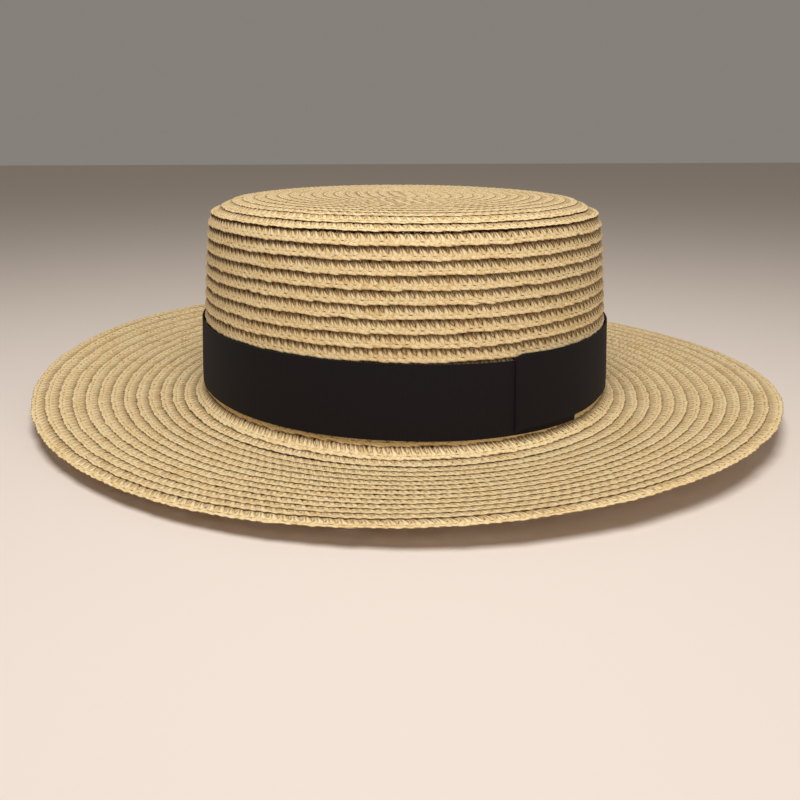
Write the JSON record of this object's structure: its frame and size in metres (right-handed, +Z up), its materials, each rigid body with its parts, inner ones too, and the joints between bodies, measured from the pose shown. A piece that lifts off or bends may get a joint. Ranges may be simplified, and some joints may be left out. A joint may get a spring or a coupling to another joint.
{
  "type": "straw boater hat",
  "caption": "Straw boater hat with a flat-topped oval crown, a wide slightly dished brim of sewn braid and a flat dark ribbon band lapped at the front left.",
  "frame": {"origin": "centre of the head opening on the surface the hat stands on", "axes": "+Z up through the crown, -Y towards the wearer's front, +X towards the wearer's left"},
  "size_m": [0.3012, 0.3312, 0.081],
  "materials": {
    "straw_braid": "pale plaited paper straw, sewn in overlapping rows, matt to satin",
    "grosgrain_ribbon": "near black ribbed grosgrain, matt"
  },
  "bodies": {
    "root": {"crown": "straw_braid", "brim": "straw_braid", "ribbon_band": "grosgrain_ribbon"}
  },
  "joints": []
}
